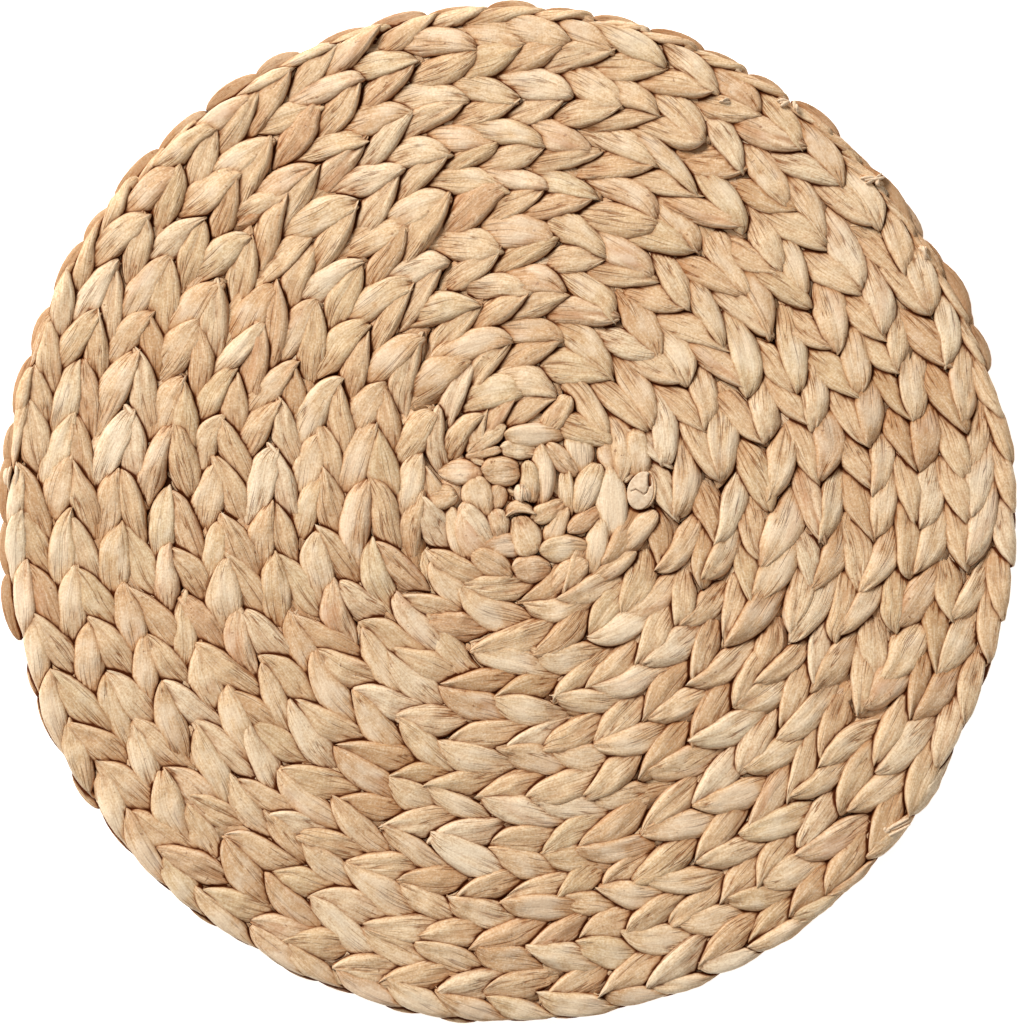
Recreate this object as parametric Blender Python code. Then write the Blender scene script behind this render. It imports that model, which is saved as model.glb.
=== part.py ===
"""A round placemat, plaited from dried plant stems and coiled flat.

One plait of flattened stems winds clockwise outwards from a pole a little off the middle. Each turn of the
plait is a row of V shapes: both arms of a V run forward and meet in a tip on the row's middle line, and each
arm is one puffy length of stem. The mat is one solid, lying flat, with its origin under the middle of its
outline and +Z up. The pole is off the middle towards +X and +Y. Angles run clockwise from +X.
"""

import math
import random

import bpy
from mathutils import Vector
from mathutils.geometry import delaunay_2d_cdt

# The coil
ROW_PITCH = 0.0181
POLE = Vector((0.0049, 0.0070))
POLE_GAP = 0.0006
# How far a row runs ahead of an even spiral at each eighth of a turn, in row pitches.
ROW_LEAD = (0.0, -0.02, -0.07, -0.18, -0.42, -0.12, 0.30, 0.05)

# The outline, at each twelfth of a turn round the middle of the mat
RIM_RADIUS = (
    0.1858, 0.1847, 0.1856, 0.1859, 0.1844, 0.1863, 0.1856, 0.1854, 0.1853, 0.1865, 0.1856, 0.1833,
)  # fmt: skip
SCALLOPS = 60
SCALLOP_DEPTH = 0.0016
SCALLOP_MEAN = 2 / math.pi
POINTS_A_SCALLOP = 6

# The V's along a row
V_PITCH = 0.0192
V_PITCH_AT_POLE = 0.0150
FULL_SIZE_RADIUS = 0.060
FIRST_V_RADIUS = 0.0075
V_UNEVEN = 0.10
# Where the points of one arm lie: how far behind the tip, in V pitches, and how far from the middle line,
# in half rows.
TIP = (0.0, 0.0)
EDGE_MIDDLE = (0.14, 0.56)
EDGE_ROOT = (0.52, 1.0)
MIDDLE_LINE = (0.55, 0.0)
CROWN_FRONT = (0.33, 0.40)
CROWN_MIDDLE = (0.62, 0.58)
CROWN_BACK = (0.98, 0.76)

# Heights
THICKNESS = 0.0100
CROWN_UNEVEN = 0.0007
BACK_IS_LOWER = 0.0012
CREASE_HEIGHT = 0.0068
HOLLOW_HEIGHT = 0.0058
RIM_HEIGHT = 0.0045
ROUNDED_EDGE = 0.0065
CLEAR_OF_RIM = 0.0026
# The rings below the rim: height, and how far in from the rim.
LOWER_RINGS = ((0.0016, 0.0010), (0.0, 0.0036))

MERGE_DISTANCE = 1e-6
NEAREST_POINTS = 0.0011
STEM_COLOUR = (0.61, 0.42, 0.24, 1.0)
SEED = 7


def round_table(values, degrees):
    """Reads values that are spaced evenly round a turn at any angle, along a smooth closed curve."""
    place = (degrees / 360 * len(values)) % len(values)
    first = int(place)
    share = place - first
    a, b, c, d = (values[(first + step) % len(values)] for step in (-1, 0, 1, 2))
    bend = 2 * a - 5 * b + 4 * c - d + share * (3 * (b - c) + d - a)
    return b + share / 2 * (c - a + share * bend)


def row_radius(degrees):
    """The row's middle line, by its distance from the pole after that many degrees of coiling."""
    return POLE_GAP + ROW_PITCH * (degrees / 360 + round_table(ROW_LEAD, degrees))


def from_pole(degrees, radius):
    turn = math.radians(degrees)
    return POLE + radius * Vector((math.cos(turn), -math.sin(turn)))


def row_point(degrees, along, across):
    """The point that lies along metres further down the row and across metres outside its middle line."""
    radius = row_radius(degrees)
    ahead = degrees + math.degrees(along / max(radius, ROW_PITCH / 2))
    return from_pole(ahead, max(row_radius(ahead) + across, 0.0))


def rim_radius(degrees):
    """The scalloped outline, by its distance from the middle of the mat."""
    bump = abs(math.sin(math.radians(degrees) * SCALLOPS / 2)) - SCALLOP_MEAN
    return round_table(RIM_RADIUS, degrees) + SCALLOP_DEPTH * bump


def in_from_rim(point):
    degrees = math.degrees(math.atan2(-point.y, point.x))
    return round_table(RIM_RADIUS, degrees) - point.length


def v_pitch(radius):
    share = min(radius / FULL_SIZE_RADIUS, 1.0)
    return V_PITCH_AT_POLE + share * (V_PITCH - V_PITCH_AT_POLE)


class Relief:
    """The top of the mat as points with heights, and the creases and ridges that join them.

    Two rows share each border crease, so its points are kept by how far round the coil they lie, in degrees,
    and are joined in that order at the end.
    """

    def __init__(self):
        self.border = []
        self.points = []
        self.heights = []
        self.edges = []
        self.cells = {}

    def near(self, point):
        """An earlier point closer than NEAREST_POINTS, or None."""
        column, line = (int(value // NEAREST_POINTS) for value in point)
        for i in range(column - 1, column + 2):
            for j in range(line - 1, line + 2):
                for known in self.cells.get((i, j), ()):
                    if (self.points[known] - point).length < NEAREST_POINTS:
                        return known
        return None

    def add(self, point, height):
        """The number of a point at this place, or None where the rim leaves no room for it."""
        room = in_from_rim(point)
        if room < CLEAR_OF_RIM:
            return None
        known = self.near(point)
        if known is not None:
            return known
        fall = 1 - min(room / ROUNDED_EDGE, 1.0)
        height = RIM_HEIGHT + (height - RIM_HEIGHT) * math.sqrt(1 - fall * fall)
        cell = tuple(int(value // NEAREST_POINTS) for value in point)
        self.cells.setdefault(cell, []).append(len(self.points))
        self.points.append(point)
        self.heights.append(height)
        return len(self.points) - 1

    def line(self, numbers):
        """Joins the points that there was room for."""
        for first, second in zip(numbers, numbers[1:]):
            if first is not None and second is not None and first != second:
                self.edges.append((first, second))


def add_v(relief, degrees, pitch, last_tip, chance):
    """One V: its tip, and for each arm the front edge down in the creases and the crown along its top."""

    def place(spot, side, height):
        behind, aside = spot
        return relief.add(row_point(degrees, -behind * pitch, side * aside * ROW_PITCH / 2), height)

    tip = place(TIP, 1, HOLLOW_HEIGHT)
    relief.line([last_tip, place(MIDDLE_LINE, 1, CREASE_HEIGHT), tip])
    for side in (-1, 1):
        root = place(EDGE_ROOT, side, HOLLOW_HEIGHT)
        relief.border.append((degrees - (360 if side < 0 else 0), root))
        relief.line([tip, place(EDGE_MIDDLE, side, CREASE_HEIGHT), root])
        top = THICKNESS - chance.uniform(0, CROWN_UNEVEN)
        front = place(CROWN_FRONT, side, top - CROWN_UNEVEN)
        middle = place(CROWN_MIDDLE, side, top)
        relief.line([front, middle, place(CROWN_BACK, side, top - BACK_IS_LOWER)])
    return tip


def plait_relief():
    """Every V of the coil, from the pole out to where the last row has left the mat."""
    relief = Relief()
    relief.add(POLE, CREASE_HEIGHT)
    chance = random.Random(SEED)
    last_radius = max(RIM_RADIUS) + POLE.length + ROW_PITCH
    degrees = 0.0
    tip = None
    while row_radius(degrees) < last_radius:
        radius = row_radius(degrees)
        pitch = v_pitch(radius) * chance.uniform(1 - V_UNEVEN, 1 + V_UNEVEN)
        if radius > FIRST_V_RADIUS:
            tip = add_v(relief, degrees, pitch, tip, chance)
        degrees += math.degrees(pitch / max(radius, FIRST_V_RADIUS))
    relief.line([number for _, number in sorted(relief.border, key=lambda entry: entry[0])])
    return relief


def rim_points():
    """The outline seen from above, anticlockwise."""
    count = SCALLOPS * POINTS_A_SCALLOP
    points = []
    for step in range(count):
        degrees = -360 * step / count
        turn = math.radians(degrees)
        points.append(rim_radius(degrees) * Vector((math.cos(turn), -math.sin(turn))))
    return points


def outline_middle(points):
    xs = [point.x for point in points]
    ys = [point.y for point in points]
    return Vector(((min(xs) + max(xs)) / 2, (min(ys) + max(ys)) / 2))


def mat_mesh():
    """The relief inside its rim, the rounded side under the rim and the flat underside, as one closed skin."""
    relief = plait_relief()
    rim = rim_points()
    start = len(relief.points)
    rim_numbers = list(range(start, start + len(rim)))
    flat, _, triangles, sources, _, _ = delaunay_2d_cdt(
        relief.points + rim, relief.edges, [rim_numbers], 1, MERGE_DISTANCE
    )
    heights = relief.heights + [RIM_HEIGHT] * len(rim)
    middle = outline_middle(rim)
    points = []
    made_from = {}
    for number, (point, source) in enumerate(zip(flat, sources)):
        height = heights[source[0]] if source else CREASE_HEIGHT
        points.append((*(point - middle), height))
        made_from.update({known: number for known in source})
    faces = [tuple(triangle) for triangle in triangles]

    ring = [made_from[number] for number in rim_numbers]
    for height, inset in LOWER_RINGS:
        below = []
        for point in rim:
            below.append(len(points))
            points.append((*(point * (1 - inset / point.length) - middle), height))
        for i in range(len(ring)):
            after = (i + 1) % len(ring)
            faces.append((ring[after], ring[i], below[i], below[after]))
        ring = below
    faces.append(tuple(reversed(ring)))

    mesh = bpy.data.meshes.new("plaited_mat")
    mesh.from_pydata(points, [], faces)
    mesh.update()
    return mesh


def stem_material():
    material = bpy.data.materials.new("dried_stem")
    material.use_nodes = True
    shader = material.node_tree.nodes["Principled BSDF"]
    shader.inputs["Base Color"].default_value = STEM_COLOUR
    shader.inputs["Roughness"].default_value = 0.6
    shader.inputs["Metallic"].default_value = 0.0
    return material


def clear_scene():
    for old in list(bpy.data.objects):
        bpy.data.objects.remove(old)


def build_placemat():
    clear_scene()
    mesh = mat_mesh()
    mesh.materials.append(stem_material())
    mat = bpy.data.objects.new("plaited_mat", mesh)
    bpy.context.scene.collection.objects.link(mat)


build_placemat()
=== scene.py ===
"""A round placemat, plaited from dried plant stems and coiled flat, lying on a pale floor.

Lengths are in metres, and angles run clockwise from +X, seen from above. The mat's own solid is replaced by
the plait itself: every length of stem that shows on the top, the rim and the underside, round a dark core.
"""

import math
import random

import bpy
import numpy as np
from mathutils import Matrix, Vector


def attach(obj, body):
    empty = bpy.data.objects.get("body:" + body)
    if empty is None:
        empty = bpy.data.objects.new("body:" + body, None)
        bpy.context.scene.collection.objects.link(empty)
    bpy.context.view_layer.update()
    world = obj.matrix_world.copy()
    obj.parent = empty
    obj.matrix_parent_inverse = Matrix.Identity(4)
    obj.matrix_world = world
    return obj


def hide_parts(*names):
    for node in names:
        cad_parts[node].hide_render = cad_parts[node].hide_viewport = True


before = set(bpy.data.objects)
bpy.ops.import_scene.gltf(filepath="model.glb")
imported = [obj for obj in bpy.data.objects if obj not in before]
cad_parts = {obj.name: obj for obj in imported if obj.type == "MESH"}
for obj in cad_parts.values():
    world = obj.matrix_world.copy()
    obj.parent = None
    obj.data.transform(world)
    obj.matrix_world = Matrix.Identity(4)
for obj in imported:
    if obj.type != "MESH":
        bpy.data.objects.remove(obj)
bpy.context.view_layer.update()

# The coil: one plait of flattened, dried water plant stems, about 18 mm wide, wound clockwise from a pole a
# little off the middle and joined turn to turn. Five pieces make its top face, each a few of its turns.
ROW_PITCH = 0.0181
HALF_ROW = ROW_PITCH / 2
POLE_GAP = 0.0006
POLE_FROM_RIM_MIDDLE = Vector((0.0049, 0.0070))
# How far a row runs ahead of an even spiral at each eighth of a turn, in row pitches.
ROW_LEAD = (0.0, -0.02, -0.07, -0.18, -0.42, -0.12, 0.30, 0.05)
# The outline at each twelfth of a turn.
RIM_RADIUS = (
    0.1858, 0.1847, 0.1856, 0.1859, 0.1844, 0.1863, 0.1856, 0.1854, 0.1853, 0.1865, 0.1856, 0.1833,
)  # fmt: skip
# How far the lengths of the top reach past the rim's line at each twelfth of a turn: from the left round over
# the top right they end short of it, and the lower layer shows.
PAST_RIM_LINE = (
    0.0015, 0.0020, 0.0018, 0.0029, 0.0030, 0.0024, -0.0007, -0.0005, -0.0004, -0.0012, -0.0016, -0.0010,
)  # fmt: skip
THICKNESS = 0.0100
HALF_THICK = THICKNESS / 2
# The V's: a full pitch from this radius out, and shorter ones towards the pole.
V_PITCH = 0.0192
V_PITCH_AT_POLE = 0.0150
FULL_SIZE_RADIUS = 0.060
FIRST_V_RADIUS = 0.0075
V_UNEVEN = 0.10
CROWN_UNEVEN = 0.0007
# How far each V moves towards the nearest gap between two tips of the turn inside it.
SETTLE = 0.25
SEED = 7


def round_table(values, degrees):
    """Reads values that are spaced evenly round a turn at any angle, along a smooth closed curve."""
    place = (degrees / 360 * len(values)) % len(values)
    first = int(place)
    share = place - first
    a, b, c, d = (values[(first + step) % len(values)] for step in (-1, 0, 1, 2))
    bend = 2 * a - 5 * b + 4 * c - d + share * (3 * (b - c) + d - a)
    return b + share / 2 * (c - a + share * bend)


def row_radius(degrees):
    """The row's middle line, by its distance from the pole after that many degrees of coiling."""
    return POLE_GAP + ROW_PITCH * (degrees / 360 + round_table(ROW_LEAD, degrees))


def turned(degrees, radius):
    turn = math.radians(degrees)
    return radius * Vector((math.cos(turn), -math.sin(turn)))


def rim_middle():
    """The middle of the circle that the rim follows. The origin is under the middle of the outline's box."""
    rim = [turned(degrees, round_table(RIM_RADIUS, degrees)) for degrees in range(360)]
    xs = [point.x for point in rim]
    ys = [point.y for point in rim]
    return -Vector(((min(xs) + max(xs)) / 2, (min(ys) + max(ys)) / 2))


MIDDLE = rim_middle()
POLE = MIDDLE + POLE_FROM_RIM_MIDDLE


def towards(point, values):
    """Reads a table of values round the turn in the direction of a point."""
    away = point - MIDDLE
    return round_table(values, math.degrees(math.atan2(-away.y, away.x)))


def row_point(degrees, along, across):
    """The point that lies along metres further down the row and across metres outside its middle line."""
    ahead = degrees + math.degrees(along / max(row_radius(degrees), HALF_ROW))
    return POLE + turned(ahead, max(row_radius(ahead) + across, 0.0))


def nearest_gap(tips, degrees):
    """The place nearest to this one that lies midway between two tips of the turn inside it."""
    gaps = [(a + b) / 2 + 360 for a, b in zip(tips, tips[1:]) if abs(a + 360 - degrees) < 90]
    return min(gaps, key=lambda gap: abs(gap - degrees), default=degrees)


def plait_vs():
    """Each V as its angle along the coil in degrees, its length along the row, and its two arms' drops."""
    chance = random.Random(SEED)
    last_radius = max(RIM_RADIUS) + POLE_FROM_RIM_MIDDLE.length + ROW_PITCH
    degrees = 0.0
    found = []
    tips = []
    while row_radius(degrees) < last_radius:
        radius = row_radius(degrees)
        share = min(radius / FULL_SIZE_RADIUS, 1.0)
        pitch = V_PITCH_AT_POLE + share * (V_PITCH - V_PITCH_AT_POLE)
        pitch *= chance.uniform(1 - V_UNEVEN, 1 + V_UNEVEN)
        if radius > FIRST_V_RADIUS:
            drops = {side: chance.uniform(0, CROWN_UNEVEN) for side in (-1, 1)}
            settled = degrees + SETTLE * (nearest_gap(tips, degrees) - degrees)
            found.append((settled, pitch, drops))
            tips.append(settled)
        degrees += math.degrees(pitch / max(radius, FIRST_V_RADIUS))
    return found


VS = plait_vs()

# Each arm of a V is a puffy, flattened length of stem. It comes up from under the V behind it at the row's
# border, swells to a rounded front and dives again at the V's tip. These are both edges of it from root to
# tip, as handles of a smooth curve: how far ahead of the tip, in V pitches, and how far out from the row's
# middle line, in half rows. They are a little wider than their places, so each crease lies where two meet.
ARM_INNER_EDGE = ((-1.60, 1.00), (-1.26, -0.40), (-0.20, -0.42), (0.08, -0.08))
ARM_OUTER_EDGE = ((-1.60, 1.04), (-1.20, 1.78), (-0.08, 1.16), (0.08, -0.08))
# Heights above the middle of the mat: the crown from root to tip, the widest line all along, and how far the
# belly hangs below that. The higher the shoulder, the squarer the length's cross section.
ARM_CROWN = (
    (0.00, 0.0006), (0.15, 0.0022), (0.32, 0.0036), (0.52, 0.0047), (0.70, 0.0050), (0.84, 0.0048),
    (0.93, 0.0039), (0.975, 0.0019), (1.00, -0.0016),
)  # fmt: skip
WIDEST_LEVEL = -0.0006
BELLY = 0.0008
SHOULDER = 3.8
# How evenly the points are spread along and across a length, against crowding them at its ends and edges.
EVEN_ALONG = 0.55
EVEN_ACROSS = 0.35


def on_curve(handles, share):
    """A point on the smooth curve with these four handles."""
    back = 1 - share
    weights = (back**3, 3 * back**2 * share, 3 * back * share**2, share**3)
    return np.array(weights) @ np.array(handles)


def placed(name, data):
    """A new object of the scene, at the origin."""
    made = bpy.data.objects.new(name, data)
    bpy.context.scene.collection.objects.link(made)
    return made


def store(mesh, name, values):
    """Keeps a number or a vector for each point of a mesh, as an attribute."""
    values = np.array(values, np.float32)
    kind, field = ("FLOAT", "value") if values.ndim == 1 else ("FLOAT_VECTOR", "vector")
    mesh.attributes.new(name, kind, "POINT").data.foreach_set(field, values.ravel())


def stem_length(name, inner_edge, outer_edge, crown_line, stations, top_sides, belly_sides):
    """One length of stem as a closed skin. form is (along, out, height) and fibre is (share, side, top)."""
    form = []
    fibre = []
    for station in range(stations + 1):
        even = station / stations
        share = EVEN_ALONG * even + (1 - EVEN_ALONG) * (1 - math.cos(math.pi * even)) / 2
        inner, outer = on_curve(inner_edge, share), on_curve(outer_edge, share)
        crown = np.interp(share, *zip(*crown_line))
        sides = top_sides + belly_sides if 0 < station < stations else 1
        for side in range(sides):
            if side <= top_sides:
                angle = math.pi * side / top_sides
                out = (1 - EVEN_ACROSS) * math.cos(angle) + EVEN_ACROSS * (1 - 2 * side / top_sides)
                height = WIDEST_LEVEL + (crown - WIDEST_LEVEL) * (1 - abs(out) ** SHOULDER) ** 0.5
            else:
                out = -math.cos(math.pi * (side - top_sides) / belly_sides)
                height = WIDEST_LEVEL - BELLY * (1 - out**2) ** 0.5
            if sides == 1:
                out, height = 0.0, crown
            along, across = inner + (outer - inner) * (1 + out) / 2
            form.append((along, across, height))
            fibre.append((share, out, 1.0 if side <= top_sides else 0.0))
    around = top_sides + belly_sides
    faces = [(0, 1 + side, 1 + (side + 1) % around) for side in range(around)]
    for ring in range(stations - 2):
        start = 1 + ring * around
        for side in range(around):
            after = (side + 1) % around
            faces.append((start + side, start + around + side, start + around + after, start + after))
    start = 1 + (stations - 2) * around
    last = len(form) - 1
    faces += [(start + side, last, start + (side + 1) % around) for side in range(around)]
    mesh = bpy.data.meshes.new(name)
    mesh.from_pydata(form, [], faces)
    store(mesh, "form", form)
    store(mesh, "fibre", fibre)
    return placed(name, mesh)


# The single lengths round the pole cover the coil inside this ellipse, where it lies lower: its middle, its
# half axes and how far the coil goes down.
ROSETTE_MIDDLE = Vector((0.0142, 0.0046))
ROSETTE_REACH = (0.0350, 0.0262)
UNDER_ROSETTE = 0.0030
# Where an arm's middle is, behind its tip in V pitches, and how far past the rim it may lie on the top.
ARM_MIDDLE = 0.7
PAST_RIM_ON_TOP = 0.0037
# The row's slope is read over steps of this many pitches, and the first rows stop short of the pole.
SLOPE_STEP = 0.75
SHORT_OF_POLE = 0.0005


def in_rosette(point):
    away = point - ROSETTE_MIDDLE
    return (away.x / ROSETTE_REACH[0]) ** 2 + (away.y / ROSETTE_REACH[1]) ** 2 < 1


def seats(name, past_rim, nearest, furthest, under_rosette):
    """The places of the lengths between two distances from the pole, as points that carry their sizes."""
    rows = []
    for degrees, pitch, drops in VS:
        radius = row_radius(degrees)
        if not nearest <= radius < furthest:
            continue
        step = SLOPE_STEP * pitch / max(radius, HALF_ROW)
        before = [row_radius(degrees - math.degrees(step * count)) for count in (0, 1, 2)]
        for side in (-1, 1):
            half = HALF_ROW if side > 0 else min(HALF_ROW, radius - SHORT_OF_POLE)
            middle = row_point(degrees, -ARM_MIDDLE * pitch, side * half / 2)
            rim = towards(middle, RIM_RADIUS)
            if (middle - MIDDLE).length > rim + past_rim:
                continue
            rows.append(
                {
                    "turn": math.radians(degrees),
                    "radius": radius,
                    "slope": (3 * before[0] - 4 * before[1] + before[2]) / (2 * step),
                    "bend": (before[0] - 2 * before[1] + before[2]) / step**2,
                    "pitch": pitch,
                    "half": half,
                    "side": side,
                    "rim": rim + towards(middle, PAST_RIM_LINE),
                    "drop": drops[side] + (under_rosette if in_rosette(middle) else 0),
                    "place": (*row_point(degrees, 0, 0), 0),
                }
            )
    mesh = bpy.data.meshes.new(name)
    mesh.from_pydata([row["place"] for row in rows], [], [])
    for key in rows[0]:
        if key != "place":
            store(mesh, key, [row[key] for row in rows])
    return placed(name, mesh)


class Wire:
    """An output socket that takes part in arithmetic: each sign adds a Math node."""

    def __init__(self, graph, socket):
        self.graph = graph
        self.socket = socket

    def math(self, operation, *values):
        sockets = dict(enumerate((self, *values)))
        return self.graph.add("ShaderNodeMath", {"operation": operation}, sockets)

    def back(self, operation, value):
        return self.graph.add("ShaderNodeMath", {"operation": operation}, {0: value, 1: self})

    def __add__(self, value):
        return self.math("ADD", value)

    def __sub__(self, value):
        return self.math("SUBTRACT", value)

    def __mul__(self, value):
        return self.math("MULTIPLY", value)

    def __truediv__(self, value):
        return self.math("DIVIDE", value)

    def __pow__(self, value):
        return self.math("POWER", value)

    __radd__ = __add__
    __rmul__ = __mul__

    def __rsub__(self, value):
        return self.back("SUBTRACT", value)

    def __abs__(self):
        return self.math("ABSOLUTE")

    def least(self, value):
        """Never under this value."""
        return self.math("MAXIMUM", value)

    def most(self, value):
        """Never over this value."""
        return self.math("MINIMUM", value)

    def between(self, low, high):
        """0 at low, 1 at high and even in between."""
        return ((self - low) / (high - low)).least(0).most(1)


class Graph:
    """Adds nodes to a node tree and joins them."""

    def __init__(self, tree):
        self.tree = tree

    def add(self, kind, settings=None, sockets=None, out=0):
        node = self.tree.nodes.new(kind)
        for key, value in (settings or {}).items():
            if key == "stops":
                self.set_stops(node.color_ramp, value)
            else:
                setattr(node, key, value)
        for key, value in (sockets or {}).items():
            self.feed(self.pick(node.inputs, key), value)
        return Wire(self, self.pick(node.outputs, out)) if node.outputs else node

    def pick(self, sockets, key):
        if isinstance(key, int):
            return sockets[key]
        return next(socket for socket in sockets if socket.name == key and socket.enabled)

    def feed(self, socket, value):
        if isinstance(value, Wire):
            self.tree.links.new(value.socket, socket)
        else:
            socket.default_value = value

    def set_stops(self, ramp, stops):
        while len(ramp.elements) < len(stops):
            ramp.elements.new(1.0)
        for element, (place, colour) in zip(ramp.elements, stops):
            element.position = place
            element.color = colour

    def also(self, wire, out):
        """Another output of the node that a wire comes from."""
        return Wire(self, self.pick(wire.socket.node.outputs, out))

    def vector(self, x, y, z):
        return self.add("ShaderNodeCombineXYZ", None, {0: x, 1: y, 2: z})

    def parts(self, vector):
        x = self.add("ShaderNodeSeparateXYZ", None, {0: vector})
        return x, self.also(x, 1), self.also(x, 2)

    def noise(self, vector, scale, detail, out=0):
        return self.add("ShaderNodeTexNoise", None, {"Vector": vector, "Scale": scale, "Detail": detail}, out)


# A fold is a line that is this many times thinner than the noise it follows. Folds crowd at both ends of a
# length, from these shares of it on, and are scattered in between.
FOLD_SHARPNESS = 34.0
FOLDS_AT_ROOT = (0.58, 0.36)
FOLDS_AT_TIP = (0.68, 0.92)
FOLDS_SCATTERED = (0.54, 0.66)


def folds(graph, share, side_of_length, own):
    """Lengthwise folds as 0 to 1: sharp lines that crowd at both ends of a length and fade in its middle."""
    line = graph.noise(graph.vector(share * 1.2, side_of_length * 3.6, own + 30.0), 1.0, 2.2)
    sharp = (1 - (abs(line - 0.5) * FOLD_SHARPNESS).most(1)) ** 1.2
    near_end = share.between(*FOLDS_AT_ROOT).math("MAXIMUM", share.between(*FOLDS_AT_TIP))
    here = graph.noise(graph.vector(share * 1.9, side_of_length * 2.2, own + 50.0), 1.0, 0.0)
    return sharp * (near_end * 1.3 + here.between(*FOLDS_SCATTERED) - 0.3).least(0).most(1)


def new_tree(name, numbers):
    """A node tree that takes seats, a length to set on them, a material, a seed and these numbers."""
    tree = bpy.data.node_groups.new(name, "GeometryNodeTree")
    for label, kind in (
        ("Seats", "NodeSocketGeometry"),
        ("Stem length", "NodeSocketObject"),
        ("Skin", "NodeSocketMaterial"),
        ("Seed", "NodeSocketInt"),
        *((number, "NodeSocketFloat") for number in numbers),
    ):
        tree.interface.new_socket(label, in_out="INPUT", socket_type=kind)
    tree.interface.new_socket("Plait", in_out="OUTPUT", socket_type="NodeSocketGeometry")
    graph = Graph(tree)
    given = graph.add("NodeGroupInput", None, None, "Seats")
    return tree, graph, given, [graph.also(given, number) for number in numbers]


def named(graph, name, data_type="FLOAT"):
    return graph.add("GeometryNodeInputNamedAttribute", {"data_type": data_type}, {"Name": name}, "Attribute")


# How much the lengths differ: name, least and most.
UNEVEN = (
    ("tone", 0.0, 1.0),
    ("stain", 0.0, 1.0),
    ("stretch", 0.97, 1.10),
    ("plump", 0.88, 1.08),
    ("spread", 0.93, 1.12),
    ("slide", -0.0018, 0.0018),
    ("nudge", -0.0008, 0.0008),
    ("twist", -1.0, 1.0),
    ("veer", -0.09, 0.09),
)


def set_on_seats(graph, given):
    """Gives every seat its own chances and sets a length of stem on it."""
    points = given
    seed = graph.also(given, "Seed")
    for number, (name, low, high) in enumerate(UNEVEN):
        chance = graph.add(
            "FunctionNodeRandomValue",
            {"data_type": "FLOAT"},
            {"Min": low, "Max": high, "Seed": seed + number},
            1,
        )
        points = graph.add(
            "GeometryNodeStoreNamedAttribute",
            {"data_type": "FLOAT", "domain": "POINT"},
            {"Geometry": points, "Name": name, "Value": chance},
        )
    given_length = graph.also(given, "Stem length")
    length = graph.add("GeometryNodeObjectInfo", None, {"Object": given_length}, "Geometry")
    laid = graph.add("GeometryNodeInstanceOnPoints", None, {"Points": points, "Instance": length})
    return graph.add("GeometryNodeRealizeInstances", None, {"Geometry": laid})


# How far a length's edges go up and down by its own twist, and by how it laps over its neighbour.
TWIST = 0.0006
LAP = 0.0009


def squeezed(graph, pleat_depth, warp):
    """How each point moves as its length is squeezed: ahead, outwards, and its new height."""
    share, side_of_length, _ = graph.parts(named(graph, "fibre", "FLOAT_VECTOR"))
    own = named(graph, "tone") * 61.0 + named(graph, "side") * 7.0
    wander = graph.noise(graph.vector(share * 1.7, side_of_length * 0.8, own), 1.0, 0.0, "Color")
    shift_along, shift_out, shift_up = graph.parts(wander)
    lump = graph.noise(graph.vector(share * 4.5, side_of_length * 1.8, own + 70.0), 1.0, 1.0)
    _, _, height = graph.parts(named(graph, "form", "FLOAT_VECTOR"))
    lap = named(graph, "side") * share * LAP
    height = height * named(graph, "plump") + (named(graph, "twist") * TWIST - lap) * side_of_length
    height = height - folds(graph, share, side_of_length, own) * pleat_depth
    height = height + (shift_up - 0.5) * warp * 0.5 + (lump - 0.5) * warp * 0.6
    return (shift_along - 0.5) * warp, (shift_out - 0.5) * warp, height


def finish_lengths(graph, given, laid, place, turned_over):
    laid = graph.add("GeometryNodeSetPosition", None, {"Geometry": laid, "Position": place})
    laid = graph.add("GeometryNodeFlipFaces", None, {"Mesh": laid, "Selection": turned_over})
    laid = graph.add("GeometryNodeSetShadeSmooth", None, {"Geometry": laid})
    skin = graph.also(given, "Skin")
    laid = graph.add("GeometryNodeSetMaterial", None, {"Geometry": laid, "Material": skin})
    graph.add("NodeGroupOutput", None, {"Plait": laid})


# A length veers about a point this far behind its tip. The rows sway from side to side, less towards the rim.
VEER_AT = 0.012
SWAY = 0.010
SWAY_SCALE = 26.0
SWAY_FADES_OVER = 0.03
# The most that a length leans over the rim, in radians, and the least distances from the pole and the floor.
MOST_LEAN = 2.6
LEAST_FROM_POLE = 0.0003
LEAST_ABOVE_FLOOR = 0.0001


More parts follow.
